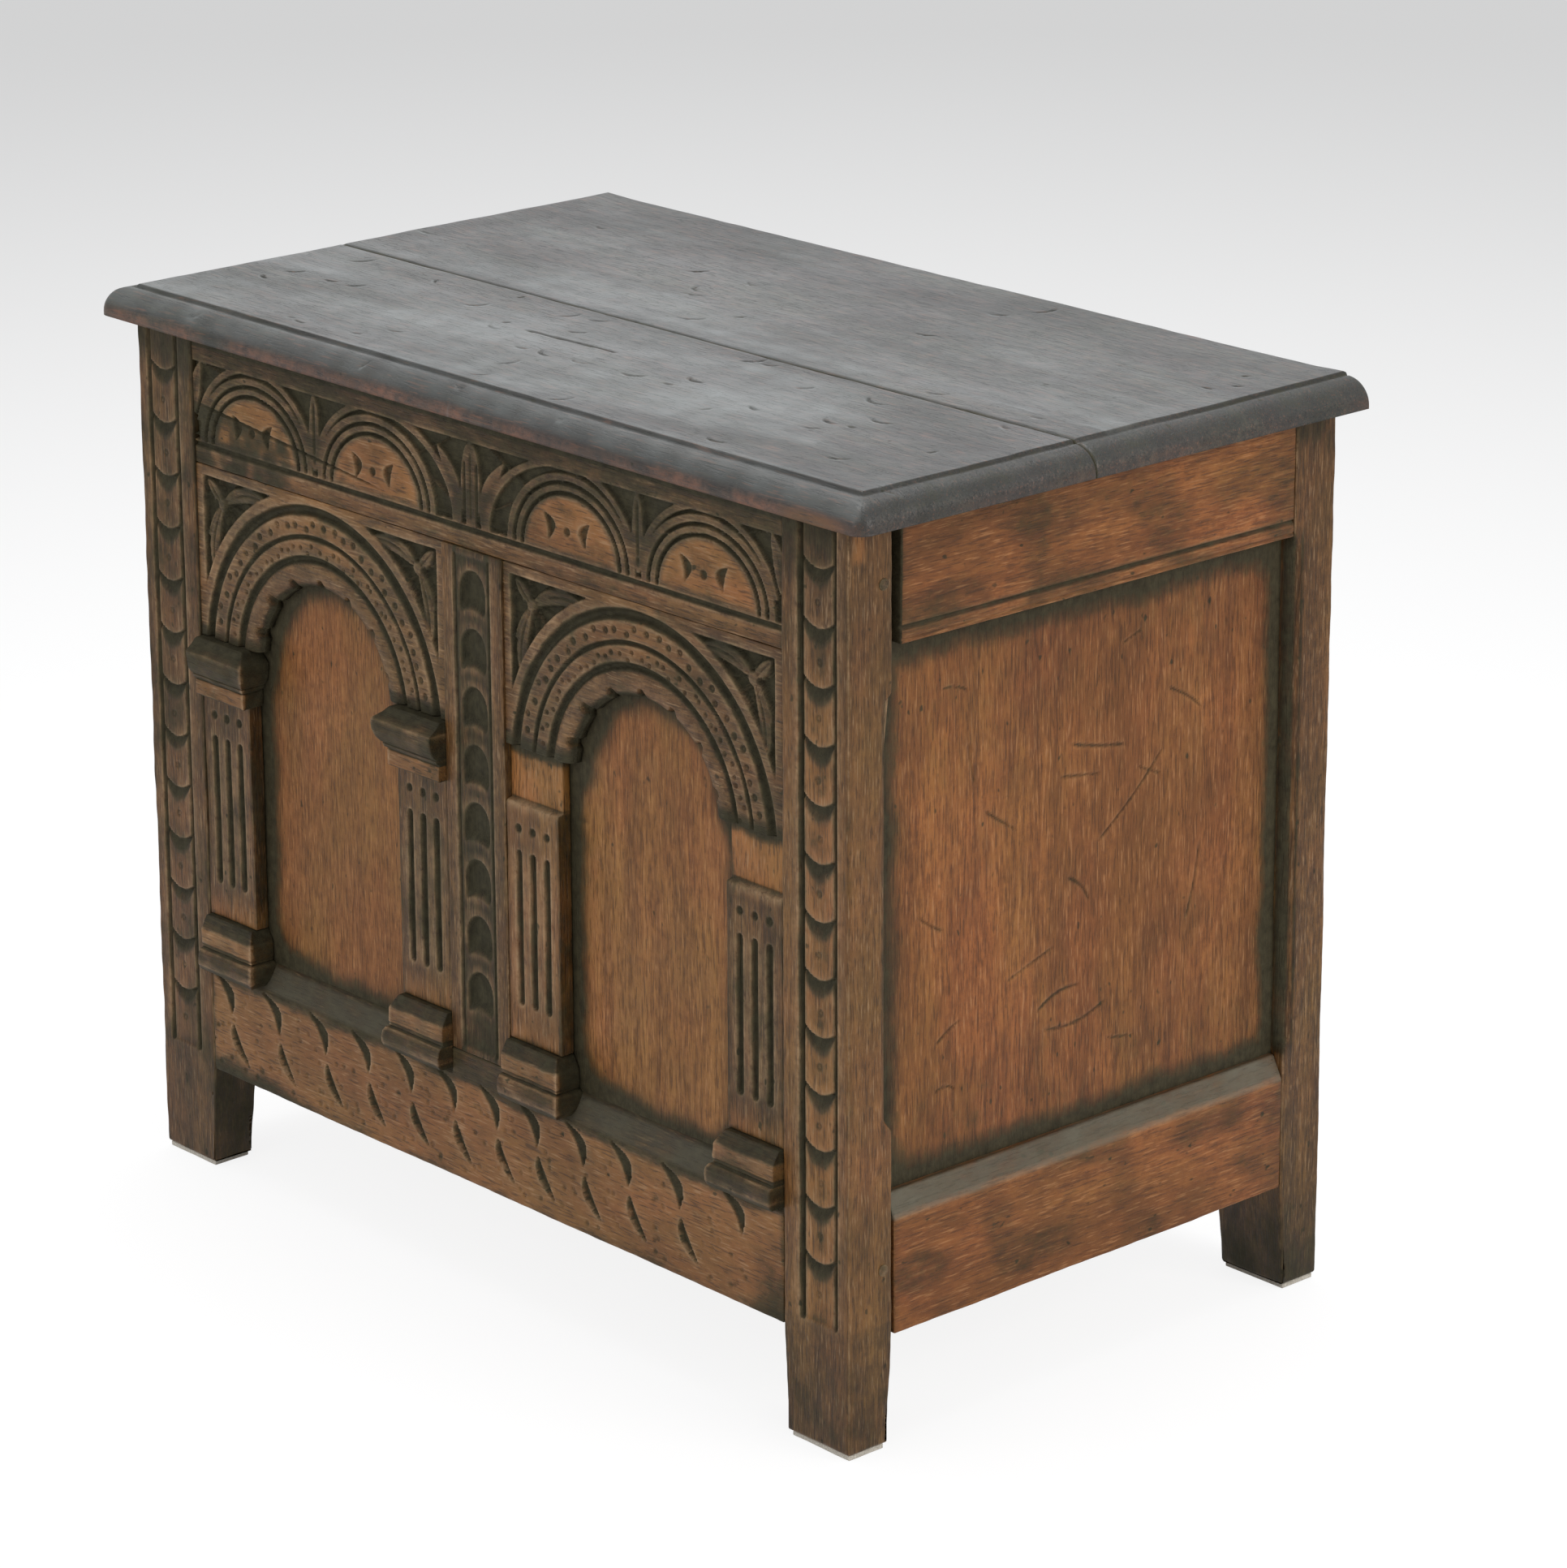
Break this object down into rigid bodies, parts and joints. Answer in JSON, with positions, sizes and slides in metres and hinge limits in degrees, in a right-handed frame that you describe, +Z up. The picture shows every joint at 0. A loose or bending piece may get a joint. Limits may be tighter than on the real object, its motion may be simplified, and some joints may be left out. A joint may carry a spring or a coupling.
{
  "type": "carved oak coffer",
  "caption": "Joined and carved oak coffer with an arcaded front, panelled sides, stile feet and a hinged boarded lid with a moulded edge.",
  "frame": {"origin": "middle of the whole chest's footprint, on the floor under the pads", "axes": "+X along the length, to the right of someone who faces the carved front; +Y from the front to the back; +Z up"},
  "size_m": [0.6856, 0.403, 0.5625],
  "materials": {
    "carved_oak": "old waxed oak, brown on the high parts and near black in the carving",
    "frame_oak": "old waxed oak, satin",
    "panel_oak": "old waxed oak, golden brown, dark along the edges",
    "lid_oak": "dark waxed oak, satin, dented",
    "inside_oak": "dry bare oak",
    "peg_oak": "end grain, dark",
    "hinge_brass": "tarnished brass",
    "pad_felt": "pressed felt"
  },
  "bodies": {
    "carcass": {"front_left_stile": "carved_oak", "front_right_stile": "carved_oak", "front_top_rail": "carved_oak", "front_bottom_rail": "carved_oak", "front_muntin": "carved_oak", "left_arch": "carved_oak", "right_arch": "carved_oak", "left_arch_left_pilaster": "carved_oak", "left_arch_left_base": "carved_oak", "left_arch_right_pilaster": "carved_oak", "left_arch_right_base": "carved_oak", "right_arch_left_pilaster": "carved_oak", "right_arch_left_base": "carved_oak", "right_arch_right_pilaster": "carved_oak", "right_arch_right_base": "carved_oak", "left_arch_left_capital": "carved_oak", "left_arch_right_capital": "carved_oak", "front_left_panel": "panel_oak", "front_right_panel": "panel_oak", "left_panel": "panel_oak", "right_panel": "panel_oak", "rear_left_stile": "frame_oak", "rear_right_stile": "frame_oak", "left_top_rail": "frame_oak", "right_top_rail": "frame_oak", "left_bottom_rail": "frame_oak", "right_bottom_rail": "frame_oak", "back_top_rail": "frame_oak", "back_bottom_rail": "frame_oak", "back_muntin": "frame_oak", "back_left_panel": "inside_oak", "back_right_panel": "inside_oak", "front_floor_bearer": "inside_oak", "rear_floor_bearer": "inside_oak", "floor_board_1": "inside_oak", "floor_board_2": "inside_oak", "floor_board_3": "inside_oak", "floor_board_4": "inside_oak", "left_top_peg": "peg_oak", "left_bottom_peg": "peg_oak", "right_top_peg": "peg_oak", "right_bottom_peg": "peg_oak", "left_hinge_frame_leaf": "hinge_brass", "left_hinge_pin": "hinge_brass", "right_hinge_frame_leaf": "hinge_brass", "right_hinge_pin": "hinge_brass", "front_left_pad": "pad_felt", "front_right_pad": "pad_felt", "rear_left_pad": "pad_felt", "rear_right_pad": "pad_felt"},
    "lid": {"lid_front_board": "lid_oak", "lid_rear_board": "lid_oak", "lid_left_batten": "inside_oak", "lid_right_batten": "inside_oak", "left_hinge_lid_leaf": "hinge_brass", "right_hinge_lid_leaf": "hinge_brass"}
  },
  "joints": [
    {"name": "lid_hinge", "type": "hinge", "parent": "carcass", "child": "lid", "pos_m": [0, 0.19825, 0.54295], "axis": [-1, 0, 0], "range_deg": [0, 100]}
  ]
}
